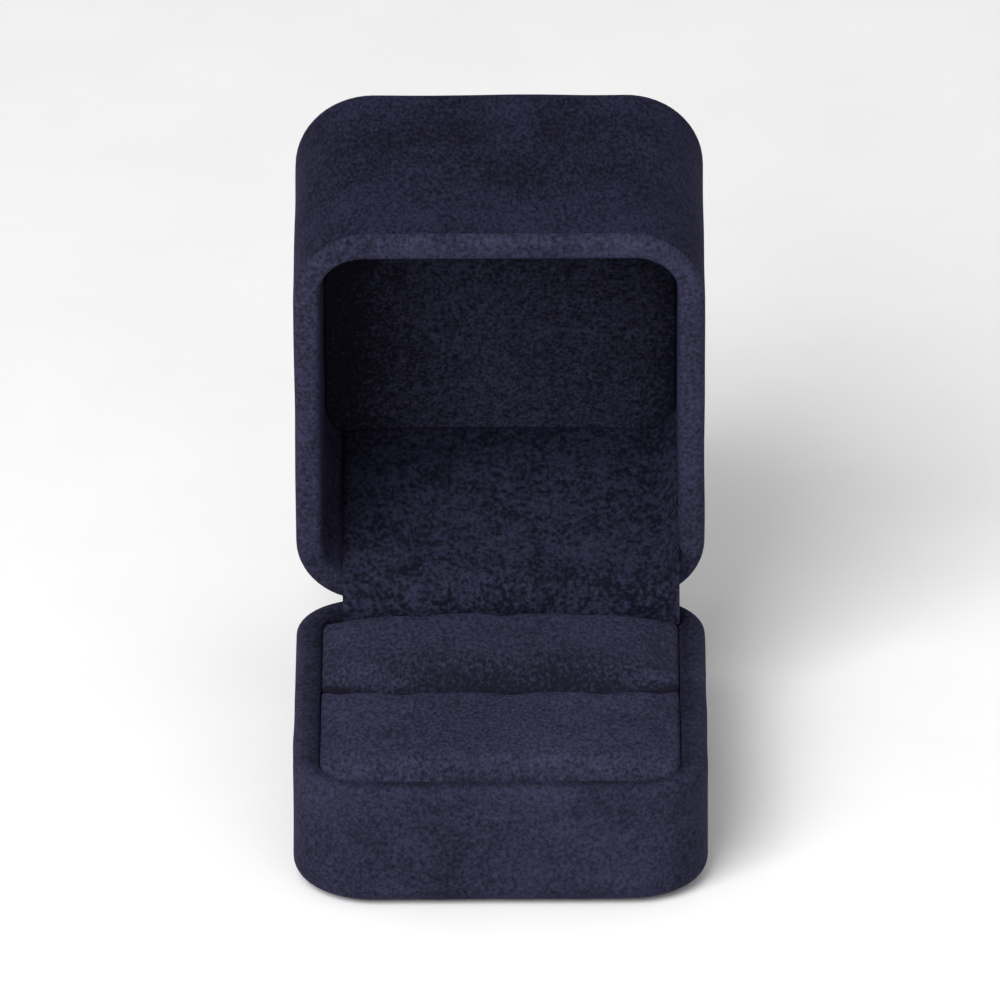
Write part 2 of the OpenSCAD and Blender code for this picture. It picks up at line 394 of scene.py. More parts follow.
class Finish(Enum):
    """The finishes that the box is made with."""

    # Base: the suede in a darker shade, painted shade for how its walls look from the front
    SHADED_BODY_SUEDE = Suede(
        "brushed_microfibre_suede_body_shaded", "#232233", tuft_mm=0.48, stroke_share=0.25, tuft_share=1.2
    )
    # Ring rolls: stretched tighter, so the patches are broader and softer
    ROLL_SUEDE = Suede(
        "brushed_microfibre_suede_rolls",
        "#2b2a3d",
        patch_mm=17.0,
        tuft_mm=0.48,
        patch_share=0.3,
        stroke_share=0.25,
        tuft_share=1.3,
    )
    # Lid: the suede in a darker shade, painted shade on the lid's outside, and more mottled
    SHADED_LID_SUEDE = Suede(
        "brushed_microfibre_suede_lid_shaded",
        "#1b1a2b",
        patch_mm=16.0,
        tuft_mm=0.48,
        patch_share=0.8,
        tuft_share=1.8,
    )
    # Rim and inside of the lid: the suede in a lighter shade, painted light on the rim
    LIT_RIM_SUEDE = Suede(
        "brushed_microfibre_suede_rim_lit",
        "#282739",
        patch_mm=11.0,
        patch_share=0.3,
        stroke_share=0.3,
        tuft_share=1.2,
    )
    # Hinge liner: longer nap with short tufts that lie across the box
    LINER_SUEDE = Suede(
        "long_nap_microfibre_liner",
        "#202031",
        patch_mm=8.0,
        stroke_mm=1.2,
        tuft_mm=0.6,
        stroke_length=1.8,
        patch_share=0.6,
        stroke_share=1.1,
        tuft_share=1.9,
        nap_depth_mm=0.3,
    )
    # Lining of the lid's top: the liner's cloth in a lighter shade, painted light inside the lid
    LIT_TOP_SUEDE = Suede(
        "long_nap_microfibre_top_lining_lit",
        "#282839",
        patch_mm=10.0,
        stroke_mm=1.1,
        tuft_mm=0.5,
        stroke_length=1.2,
        patch_share=0.4,
        stroke_share=0.8,
        tuft_share=1.7,
        nap_depth_mm=0.25,
    )
    # Moulded ABS: fine spark-eroded grain, a dull black
    MOULDED_ABS = Plain("moulded_black_abs", "#131316", "#1a1a1e", 0.55, 0.3, 0.02)
    # Grey paperboard: pressed fibres, matt
    PRESSED_CARD = Plain("pressed_grey_paperboard", "#5c5a59", "#6d6b69", 0.9, 0.6, 0.03, stretch_x=3.0)
    # Open-cell foam: small pits, matt
    OPEN_CELL_FOAM = Plain("open_cell_grey_foam", "#4b4b50", "#64646a", 0.95, 0.5, 0.25)
    # Nickel-plated steel, pressed and barrel-polished: soft lengthwise brushing
    PLATED_STEEL = Plain(
        "nickel_plated_pressed_steel", "#b4b2ae", "#c9c7c2", 0.32, 0.15, 0.004, metallic=1.0, stretch_x=12.0
    )
    # Tempered spring strip: darker, with the blue-grey of its heat treatment
    SPRING_STEEL = Plain(
        "tempered_spring_steel_strip", "#7d7f86", "#95979c", 0.38, 0.12, 0.003, metallic=1.0, stretch_x=14.0
    )


class Finishes:
    """Keeps one built material for each finish."""

    def __init__(self) -> None:
        """Build every finish once."""
        self.made = {finish: finish.value.material() for finish in Finish}

    def dress(self, piece: bpy.types.Object, finish: Finish) -> None:
        """Give a piece one finish."""
        dress(piece, self.made[finish])


# ---------------------------------------------------------------- shared shapes


@dataclass
class Box:
    """The sizes that the whole ring box shares, in metres, worked out from the frame."""

    wall: float = 3.5 * MM
    skin: float = 0.75 * MM
    outer_corner: float = 10.6 * MM
    inner_corner: float = 5.8 * MM
    # The two corners at the hinge are this much tighter on the outer face
    rear_tighter: float = 1.2 * MM
    rim_outer: float = 1.4 * MM
    rim_inner: float = 0.95 * MM
    rim_gap: float = 0.05 * MM
    # How far the hinge's recess runs from the split, up the lid and down the base
    recess: float = 7 * MM
    width: float = field(init=False)
    depth: float = field(init=False)
    split: float = field(init=False)
    hinge: Vector = field(init=False)
    open_angle: float = field(init=False)

    def __post_init__(self) -> None:
        """Read the frame."""
        low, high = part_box("base_wrap")
        self.width = high.x - low.x
        self.depth = high.y - low.y
        joint = next(j for j in frame["joints"] if j["name"] == "lid_hinge")
        self.hinge = Vector(joint["pos_m"])
        self.split = self.hinge.z
        self.open_angle = math.radians(joint["range_deg"][1])

    def lid_pose(self) -> Matrix:
        """The turn that takes a closed lid to where it stands open."""
        there = Matrix.Translation(self.hinge)
        return there @ Matrix.Rotation(-self.open_angle, 4, "X") @ there.inverted()

    def closed_heights(self, node: str) -> tuple[float, float]:
        """The lowest and highest points that a node of the lid has while the lid is closed."""
        closed = self.lid_pose().inverted()
        heights = [(closed @ v.co).z for v in frame["nodes"][node].data.vertices]
        return min(heights), max(heights)

    def girth(self) -> float:
        """The distance round the box's outer face."""
        straight = 2 * (self.width + self.depth) - 8 * self.outer_corner
        return straight + 2 * math.pi * self.outer_corner

    def inset_of(self, p: Vector) -> float:
        """How far in from the box's rounded outer face a point is, in metres."""
        halves = (self.width / 2, self.depth / 2)
        past = [abs(d) - half + self.outer_corner for d, half in zip(p.xy, halves)]
        beyond = math.hypot(*(max(0.0, d) for d in past))
        return self.outer_corner - beyond - min(0.0, max(past))

    def corner_at(self, inset: float) -> float:
        """The plan's corner radius at a distance in from the outer face."""
        share = min(inset / self.wall, 1.0)
        return self.outer_corner + (self.inner_corner - self.outer_corner) * share

    def plan(self, inset: float, corner: float | None = None) -> list[Point]:
        """The box's outline seen from above.

        Args:
            inset: how far in from the outer face, in metres.
            corner: the corner radius, if not the wall's own there.

        Returns:
            Points round the outline, always as many, so outlines can be joined one to another.
        """
        radius = self.corner_at(inset) if corner is None else corner
        rear = max(radius - self.rear_tighter * max(0.0, 1 - inset / self.wall), 0.3 * MM)
        x, y = self.width / 2 - inset, self.depth / 2 - inset
        turns = [(1, 1, rear), (-1, 1, rear), (-1, -1, radius), (1, -1, radius)]
        corners = [
            arc((sx * (x - r), sy * (y - r)), r, 90 * k, 90 * (k + 1), 14)
            for k, (sx, sy, r) in enumerate(turns)
        ]
        outline = []
        for here, after in zip(corners, corners[1:] + corners[:1]):
            count = 26
            start, end = here[-1], after[0]
            outline += here
            outline += [
                tuple(a + (b - a) * i / count for a, b in zip(start, end)) for i in range(1, count)
            ]
        return outline


def sweep(name: str, loops: list[list[Vector]], ring: bool) -> bpy.types.Object:
    """Join loops of equally many points into a closed piece.

    Args:
        name: the piece's name.
        loops: the loops, each joined to the next.
        ring: whether the last loop joins the first; if not, both end loops are filled.

    Returns:
        The new object.
    """
    around, count = len(loops[0]), len(loops)
    points = [p for loop in loops for p in loop]
    faces = []
    for k in range(count if ring else count - 1):
        here, after = k * around, (k + 1) % count * around
        for i in range(around):
            j = (i + 1) % around
            faces.append((here + i, here + j, after + j, after + i))
    if not ring:
        faces += [tuple(range(around)), tuple(range((count - 1) * around, count * around))]
    return new_piece(name, points, faces)


@dataclass
class SuedeSkin:
    """Suede glued over a moulded shell: outer face, rim and inner face, with its own thickness."""

    box: Box
    name: str
    # Wall height from the split to the skin's far edge, and the radius of that edge
    height: float
    edge: float
    # Where the inner face ends, from the split
    inner_end: float
    # How far in from the outer face the skin runs over the closed end
    reach: float
    # -1 for the base, which hangs down from the split, and 1 for the lid
    side: int

    def section(self) -> tuple[list[Point], list[Point], list[Point]]:
        """The skin's section, as distances in from the outer face and distances from the split.

        Returns:
            The shown run over the closed end, the run over wall, rim and inner face and back up
            under the skin, and the hidden run back over the closed end.
        """
        b, skin = self.box, self.box.skin
        bend = (self.edge, self.height - self.edge)
        rim_out = (b.rim_outer, b.rim_gap + b.rim_outer)
        rim_in = (b.wall - b.rim_inner, b.rim_gap + b.rim_inner)
        start, turned = (self.reach, self.height), (self.edge, self.height)
        end = [start, *stretch(start, turned, 1.5 * MM), *arc(bend, self.edge, 90, 180, 10)]
        wall = stretch((0, bend[1]), (0, rim_out[1]), 0.9 * MM)
        wall += arc(rim_out, b.rim_outer, 180, 270, 8) + arc(rim_in, b.rim_inner, 270, 360, 6)
        wall += stretch((b.wall, rim_in[1]), (b.wall, self.inner_end), 1.2 * MM)
        wall += [(b.wall, self.inner_end), (b.wall - skin, self.inner_end)]
        wall += arc(rim_in, b.rim_inner - skin, 360, 270, 3) + arc(rim_out, b.rim_outer - skin, 270, 180, 4)
        back = [*arc(bend, self.edge - skin, 180, 90, 5), (self.reach, self.height - skin)]
        return end, wall, back

    def flat_length(self) -> float:
        """The length of the skin's section on its shown side, in metres."""
        end, wall, _ = self.section()
        run = end + [p for p in wall if p[0] <= self.box.wall]
        shown = run[: run.index((self.box.wall, self.inner_end)) + 1]
        return sum(math.dist(a, b) for a, b in zip(shown, shown[1:]))

    def build(self, ring: bool) -> bpy.types.Object:
        """Sweep the section round the plan.

        Args:
            ring: whether the closed end stays open in its middle.

        Returns:
            The skin as one closed piece, in its closed place.
        """
        end, wall, back = self.section()
        corners = [[max(self.box.outer_corner - i, 1.5 * MM) for i, _ in run] for run in (end, back)]
        radii = corners[0] + [self.box.corner_at(i) for i, _ in wall] + corners[1]
        loops = []
        for (inset, height), radius in zip(end + wall + back, radii):
            z = self.box.split + self.side * height
            loops.append([Vector((x, y, z)) for x, y in self.box.plan(inset, radius)])
        return sweep(self.name, loops, ring)

    def cut_hinge(self, skin: bpy.types.Object, leaf: str) -> None:
        """Cut the hinge's recess out of the skin, as the CAD wrap has it.

        Args:
            skin: the skin, in its closed place.
            leaf: the CAD leaf that gives the recess its width.
        """
        low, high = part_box(leaf)
        half = (high.x - low.x) / 2 + 0.2 * MM
        back = self.box.depth / 2
        notch, pocket_out = 1.0 * MM, 1.3 * MM
        cuts = [(back - 4 * MM, back + MM, notch), (back - 4.5 * MM, back - pocket_out, self.box.recess)]
        shape = bmesh.new()
        for y0, y1, reach in cuts:
            made = bmesh.ops.create_cube(shape, size=1.0)["verts"]
            for vertex in made:
                far = vertex.co.z * 2 * self.side
                vertex.co.x *= 2 * half
                vertex.co.y = y0 if vertex.co.y < 0 else y1
                vertex.co.z = self.box.split + self.side * (reach if far > 0 else -MM)
        mesh = bpy.data.meshes.new("cutter")
        shape.to_mesh(mesh)
        shape.free()
        cutter = bpy.data.objects.new("cutter", mesh)
        bpy.context.scene.collection.objects.link(cutter)
        cut = skin.modifiers.new("hinge", "BOOLEAN")
        cut.operation = "DIFFERENCE"
        cut.solver = "EXACT"
        cut.use_self = True
        cut.object = cutter
        apply_modifiers(skin)
        bpy.data.objects.remove(cutter)


@dataclass
class Panel:
    """A flat suede panel cut to the box's plan: its shown face crowned and its edge rolled over."""

    box: Box
    name: str
    inset: float
    # Heights of the face that is glued down and of the face that shows
    glued: float
    shown: float
    # How far the shown face swells out in its middle, and the roundness of its edge
    crown: float
    bevel: float

    def build(self, corner: float) -> bpy.types.Object:
        """Make the panel.

        Args:
            corner: its corner radius seen from above.

        Returns:
            The panel as one closed piece.
        """
        way = 1 if self.shown > self.glued else -1
        near = self.shown - way * self.bevel
        rings = [(0.0, self.glued)]
        rings += [(self.bevel + x, near + way * z) for x, z in arc((0, 0), self.bevel, 180, 90, 4)]
        rings += [(self.bevel + i * 1.5 * MM, self.shown) for i in range(1, 15)]
        loops = []
        for inset, z in rings:
            loop = []
            for x, y in self.box.plan(self.inset + inset, max(corner - inset, MM)):
                swell = self.crown * min(1.0, max(0.0, inset - self.bevel) / (6 * MM))
                swell *= 1 + 0.6 * ripple(Vector((x, y, 0)), 12 * MM, 4.0)
                loop.append(Vector((x, y, z + way * swell)))
            loops.append(loop)
        return sweep(self.name, loops, ring=False)


# ---------------------------------------------------------------- sub-assemblies


@dataclass
class Base:
    """The base: moulded tray, suede skin, foot panel and board."""

    box: Box
    finishes: Finishes
    edge: float = 2.5 * MM
    # How far the skin is turned in under the tray
    turn_under: float = 2.5 * MM

    def build(self) -> None:
        """Make the base's pieces and dress its CAD nodes."""
        low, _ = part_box("base_wrap")
        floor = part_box("insert_board")[0].z
        split = self.box.split
        reach = self.edge + self.turn_under
        skin = SuedeSkin(self.box, "base_suede_skin", split - low.z, self.edge, split - floor, reach, -1)
        piece = skin.build(ring=True)
        roughen(piece, 0.1 * MM, 9 * MM, 3.1, still=split)
        skin.cut_hinge(piece, "base_hinge_leaf")
        piece.data.shade_smooth()
        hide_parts("base_wrap")
        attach(piece, "base")
        around = self.box.girth()
        skin.flat_length()
        # Painted highlight over the rim's outer edge and painted shade on its flat and inside
        paint_shade_and_highlight(piece, self.painted_light)
        self.finishes.dress(piece, Finish.SHADED_BODY_SUEDE)
        self.foot()
        self.finishes.dress(frame["nodes"]["base_shell"], Finish.MOULDED_ABS)
        self.finishes.dress(frame["nodes"]["insert_board"], Finish.PRESSED_CARD)
        log.info("base: skin with %d faces", len(piece.data.polygons))

    def painted_light(self, p: Vector) -> float:
        """Painted light: a painted highlight over the rim's outer edge, painted shade on its flat and inside.
        """
        inset = self.box.inset_of(p)
        below = self.box.split - p.z
        edge = math.exp(-(((inset - 0.5 * MM) / (0.8 * MM)) ** 2)) * math.exp(-((below / (1.2 * MM)) ** 2))
        inside = max(0.0, min(1.0, (inset - 1.2 * MM) / (0.8 * MM)))
        return 0.07 * edge - 0.17 * inside

    def foot(self) -> None:
        """Make the glued panel that the box stands on."""
        low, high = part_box("base_foot_panel")
        inset = self.box.width / 2 - high.x
        panel = Panel(self.box, "base_foot_suede", inset, high.z, low.z, crown=0.0, bevel=0.3 * MM)
        piece = panel.build(self.box.outer_corner - inset)
        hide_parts("base_foot_panel")
        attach(piece, "base")
        # The darker copy of the suede, painted shade
        self.finishes.dress(piece, Finish.SHADED_BODY_SUEDE)


@dataclass
class RingRolls:
    """The two padded rolls that hold the ring between them."""

    box: Box
    finishes: Finishes
    cover: float = 0.7 * MM
    # How far the padding may swell the cover out of the foam's cut shape
    swell: float = 1.0 * MM

    def block(self, name: str, node: str, shrink: float) -> bpy.types.Object:
        """A roll's cut shape before it is upholstered.

        Args:
            name: the piece's name.
            node: the CAD cover that the roll stands in for.
            shrink: how much smaller than the CAD solid it is all round, in metres.

        Returns:
            The block, with the plan and rounded edges of the CAD cover.
        """
        source = frame["nodes"][node]
        piece = bpy.data.objects.new(name, source.data.copy())
        bpy.context.scene.collection.objects.link(piece)
        low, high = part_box(node)
        shape = bmesh.new()
        shape.from_mesh(piece.data)
        hull = bmesh.ops.convex_hull(shape, input=shape.verts)
        loose = [g for g in hull["geom_interior"] + hull["geom_unused"] if isinstance(g, bmesh.types.BMVert)]
        bmesh.ops.delete(shape, geom=list(set(loose)), context="VERTS")
        middle = (low + high) / 2
        for vertex in shape.verts:
            for axis in range(3):
                half = (high[axis] - low[axis]) / 2
                vertex.co[axis] = middle[axis] + (vertex.co[axis] - middle[axis]) * (half - shrink) / half
        shape.to_mesh(piece.data)
        shape.free()
        return piece

    def upholster(self, piece: bpy.types.Object, half: float) -> None:
        """Swell the cover over its foam with a cloth simulation, then cap how far it has moved.

        Args:
            piece: the roll's block, whose mesh is changed.
            half: half the roll's width; towards its two ends the cover is tucked tight.
        """
        remesh = piece.modifiers.new("grid", "REMESH")
        remesh.mode = "VOXEL"
        remesh.voxel_size = 0.85 * MM
        apply_modifiers(piece)
        rest = np.array([v.co for v in piece.data.vertices])
        self.simulate(piece)
        moved = np.array([v.co for v in piece.data.vertices]) - rest
        reach = np.linalg.norm(moved, axis=1, keepdims=True)
        tucked = np.clip((half - np.abs(rest[:, :1])) / (3 * MM), 0.0, 1.0)
        kept = rest + moved * np.minimum(1.0, self.swell / np.maximum(reach, 1e-9)) * tucked
        for vertex, place in zip(piece.data.vertices, kept):
            vertex.co = place
        even = piece.modifiers.new("even", "SMOOTH")
        even.factor = 0.5
        even.iterations = 6
        apply_modifiers(piece)

    def simulate(self, piece: bpy.types.Object) -> None:
        """Run the cloth at ten times the size, where the solver is steady, and scale it back."""
        scale = 10.0
        piece.data.transform(Matrix.Scale(scale, 4))
        cloth = piece.modifiers.new("cloth", "CLOTH")
        cloth.settings.use_pressure = True
        cloth.settings.uniform_pressure_force = 4.0
        cloth.settings.effector_weights.gravity = 0.0
        cloth.settings.quality = 5
        cloth.settings.tension_stiffness = 30
        cloth.settings.compression_stiffness = 30
        cloth.settings.bending_stiffness = 2
        cloth.point_cache.frame_start = 1
        cloth.point_cache.frame_end = 16
        for step in range(1, 17):
            bpy.context.scene.frame_set(step)
        apply_modifiers(piece)
        bpy.context.scene.frame_set(1)
        piece.data.transform(Matrix.Scale(1 / scale, 4))

    def build_roll(self, name: str, cover: str, foam: str, shape: "RollShape") -> None:
        """Make one roll: its cover and the foam inside it.

        Args:
            name: what the roll is called.
            cover: the CAD node of its cover.
            foam: the CAD node of its foam.
            shape: how the finished roll is pressed and pulled.
        """
        low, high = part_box(cover)
        piece = self.block(f"{name}_cover_suede", cover, 0.1 * MM)
        self.upholster(piece, high.x)
        shape.press(piece, low, high)
        finer = piece.modifiers.new("finer", "SUBSURF")
        finer.levels = finer.render_levels = 1
        apply_modifiers(piece)
        piece.data.shade_smooth()
        # Painted shade in the slit, down the sunken lip and along the front edge
        paint_shade_and_highlight(piece, lambda p: shape.painted_light(p, low, high))
        core = bpy.data.objects.new(f"{name}_foam_core", piece.data.copy())
        bpy.context.scene.collection.objects.link(core)
        normals = [v.normal.copy() for v in core.data.vertices]
        for vertex, normal in zip(core.data.vertices, normals):
            vertex.co -= normal * self.cover
        for made, node, slot, finish in (
            (piece, cover, "suede", Finish.ROLL_SUEDE),
            (core, foam, "foam", Finish.OPEN_CELL_FOAM),
        ):
            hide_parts(node)
            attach(made, "base")
            self.finishes.dress(made, finish)
        log.info("%s: cover with %d faces", name, len(piece.data.polygons))

    def build(self) -> None:
        """Make both rolls."""
        front = RollShape(0.7 * MM, lip_drop=0.0, lip_at_back=True, lip_middle=0.0, seed=5.0)
        rear = RollShape(1.4 * MM, lip_drop=2.4 * MM, lip_at_back=False, lip_middle=1.5 * MM, seed=8.0)
        self.build_roll("front_roll", "front_cushion_cover", "front_cushion_foam", front)
        self.build_roll("rear_roll", "rear_cushion_cover", "rear_cushion_foam", rear)


@dataclass
class RollShape:
    """How a roll is pressed by its neighbours and pulled by its cover."""

    # How far the top swells in the middle of the box
    crown: float
    # How far the lip at the slit sinks, over the middle of the roll
    lip_drop: float
    lip_at_back: bool
    lip_middle: float
    seed: float
    # How far back from the slit the lip starts to fall
    lip_run: float = 6.5 * MM
    # Room left to the base's inner wall
    play: float = 0.22 * MM

    def press(self, piece: bpy.types.Object, low: Vector, high: Vector) -> None:
        """Shape a swollen roll: flat under, held by the walls, and dipped along the slit.

        Args:
            piece: the roll.
            low: the CAD cover's lowest corner.
            high: the CAD cover's highest corner.
        """
        for vertex in piece.data.vertices:
            p = vertex.co
            up = max(0.0, (p.z - low.z) / (high.z - low.z))
            from_lip = self.from_lip(p, low, high)
            side = high.x - abs(p.x)
            from_lip, drop = self.crease(from_lip, high.z - p.z)
            side, drop = self.crease(side, drop)
            side, from_lip = self.crease(side, from_lip)
            p.x = math.copysign(high.x - side, p.x)
            p.y = high.y - from_lip if self.lip_at_back else low.y + from_lip
            p.z = high.z - drop
            lip = max(0.0, 1 - max(0.0, from_lip) / self.lip_run) ** 2
            middle = math.exp(-(((p.x - self.lip_middle) / (15 * MM)) ** 4))
            p.z += self.crown * up * max(0.0, 1 - (p.x / (24 * MM)) ** 2)
            p.z -= self.lip_drop * lip * middle * up
            p.z += 0.12 * MM * up * ripple(p, 14 * MM, self.seed)
            p.z = max(p.z, low.z)
            p.y = min(max(p.y, low.y - 0.05 * MM), high.y + 0.05 * MM)
            p.x = min(max(p.x * 1.018, low.x - self.play), high.x + self.play)

    def from_lip(self, p: Vector, low: Vector, high: Vector) -> float:
        """How far a point is from the slit's side of the roll, in metres."""
        return high.y - p.y if self.lip_at_back else p.y - low.y

    @staticmethod
    def crease(across: float, drop: float) -> Point:
        """Press a round edge of the roll into a tighter one.

        Args:
            across: the point's distance from one side of the edge.
            drop: its distance from the edge's other side.

        Returns:
            The same two distances after pressing.
        """
        edge, power = 2.4 * MM, 5.0
        u, v = 1 - across / edge, 1 - drop / edge
        length = math.hypot(u, v)
        if u <= 0 or v <= 0 or length < 1e-6:
            return across, drop
        ratio = ((u / length) ** power + (v / length) ** power) ** (-1 / power)
        return edge * (1 - u * ratio), edge * (1 - v * ratio)

    def painted_light(self, p: Vector, low: Vector, high: Vector) -> float:
        """Painted shade: dark in the slit, down the sunken lip and along the front edge."""
        middle = math.exp(-(((p.x - self.lip_middle) / (16 * MM)) ** 4))
        from_lip = self.from_lip(p, low, high)
        reach = (0.45 if self.lip_at_back else 0.8) * MM
        slit_shade = -0.6 * math.exp(-((max(0.0, from_lip) / reach) ** 2))
        if self.lip_at_back:
            front = max(0.0, 1 - (p.y - low.y) / (3.5 * MM))
            return slit_shade - 0.16 * front * math.exp(-((p.x / (17 * MM)) ** 4))
        fall = max(0.0, 1 - from_lip / (7.5 * MM))
        return slit_shade - 0.34 * middle * math.sin(0.5 * math.pi * fall) ** 1.5


@dataclass
class HingeLiner:
    """The suede flap that hides the hinge: up from behind the rear roll and over the lid's back wall."""

    box: Box
    finishes: Finishes
    thickness: float = 0.6 * MM
    # The flap sits a little to the right of the middle
    left: float = -21.3 * MM
    right: float = 24.1 * MM
    # The tail behind the roll is cut narrower at its right
    tail_right: float = 21.9 * MM
    # The loose strip at the right that curls up, and how far it does
    curl_width: float = 3.9 * MM
    curl_height: float = 4.0 * MM
    columns: int = 60

    def path(self) -> list[tuple[Point, Point, float]]:
        """The flap's middle line, from its tail to the lid's top.

        Returns:
            For each step its place as (y, z), the way that it faces, and the share of its full width
            at the right.
        """
        low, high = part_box("hinge_liner")
        radius = self.box.hinge.y - low.y - self.thickness / 2
        tail = self.box.split - low.z
        reach = self.box.closed_heights("lid_top_lining")[0] - self.box.split - 0.2 * MM
        steps = []
        for i in range(12):
            share = i / 12
            steps.append(((-radius, -tail * (1 - share)), (-1.0, 0.0), share))
        for i in range(15):
            a = math.pi - self.box.open_angle * i / 14
            facing = (math.cos(a), math.sin(a))
            steps.append(((radius * facing[0], radius * facing[1]), facing, 1.0))
        facing = (-math.cos(self.box.open_angle), math.sin(self.box.open_angle))
        along = (math.sin(self.box.open_angle), math.cos(self.box.open_angle))
        for i in range(1, 45):
            run = reach * i / 44
            place = tuple(radius * f + run * d for f, d in zip(facing, along))
            steps.append((place, facing, 1.0))
        return steps

    def out(self, x: float, row: int, rows: int, share: float) -> float:
        """How far the flap's middle layer stands off its path.

        Args:
            x: the place across the box, in metres.
            row: the step along the path.
            rows: how many steps the path has.
            share: how much of its full width the flap has there at the right.

        Returns:
            The distance towards the inside, in metres.
        """
        loose = max(0.0, (x - self.right + self.curl_width) / self.curl_width)
        return self.curl_height * loose**2 * share + self.puff(x, row, rows)

    def layer(self, steps: list[tuple[Point, Point, float]], sign: int) -> list[Point3]:
        """One face of the flap, as rows of points.

        Args:
            steps: the path's steps.
            sign: 1 for the face that shows, -1 for the back.

        Returns:
            The points of every row, one row after another.
        """
        points = []
        for row, ((y, z), (fy, fz), share) in enumerate(steps):
            right = self.tail_right + (self.right - self.tail_right) * share**3
            for k in range(self.columns + 1):
                x = self.left + (right - self.left) * k / self.columns
                out = self.out(x, row, len(steps), share) + sign * self.thickness / 2 * self.hem(k)
                points.append((x, self.box.hinge.y + y + out * fy, self.box.split + z + out * fz))
        return points

    def faces(self, rows: int) -> list[tuple[int, ...]]:
        """The faces that join the flap's two layers into one closed piece of so many rows."""
        wide = self.columns + 1
        layer = rows * wide
        made = []
        for corner in (s * layer + r * wide for s in range(2) for r in range(rows - 1)):
            made += [(a, a + 1, a + wide + 1, a + wide) for a in range(corner, corner + self.columns)]
        left = [r * wide for r in range(rows)]
        right = [r + self.columns for r in left]
        for line in (left, right):
            made += [(a, b, b + layer, a + layer) for a, b in zip(line, line[1:])]
        for start in (0, (rows - 1) * wide):
            made += [(a, a + 1, a + 1 + layer, a + layer) for a in range(start, start + self.columns)]
        return made

    def build(self) -> None:
        """Make the flap, its path already bent over the hinge."""
        steps = self.path()
        points = self.layer(steps, 1) + self.layer(steps, -1)
        faces = self.faces(len(steps))
        piece = new_piece("hinge_liner_suede", points, faces)
        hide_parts("hinge_liner")
        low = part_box("hinge_liner")[0]
        hinge = self.box.hinge
        start = Vector((0, low.y + self.thickness, hinge.z))
        end = self.box.lid_pose() @ start
        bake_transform(piece)
        # Painted shade where the flap bends over the hinge, and a lighter patch beside it
        paint_shade_and_highlight(piece, self.painted_light)
        self.finishes.dress(piece, Finish.LINER_SUEDE)

    def painted_light(self, p: Vector) -> float:
        """Painted light on the flap: painted shade where it bends over the hinge, and one lighter patch
        beside it.
        """
        back = p.y - self.box.hinge.y
        bend = math.exp(-(((back + 4 * MM) / (3 * MM)) ** 2))
        lighter_patch = math.exp(-(((p.x - 13 * MM) / (4 * MM)) ** 2 + ((back - 3 * MM) / (3 * MM)) ** 2))
        return 0.16 * lighter_patch - 0.1 * bend

    def hem(self, k: int) -> float:
        """How thick the flap is at a column, as a share: it thins at its two cut edges."""
        edge = min(k, self.columns - k) / 2
        return min(1.0, 0.45 + 0.55 * math.sqrt(min(edge, 1.0)))

    @staticmethod
    def puff(x: float, row: int, rows: int) -> float:
        """The flap's own soft unevenness towards the inside, in metres."""
        along = row / rows
        middle = math.exp(-((x / (19 * MM)) ** 4))
        swell = 0.12 * MM * (1 + ripple(Vector((x, along * 40 * MM, 0)), 9 * MM, 2.2)) * min(1, 5 * along)
        return middle * (swell + 0.55 * MM * along**2)


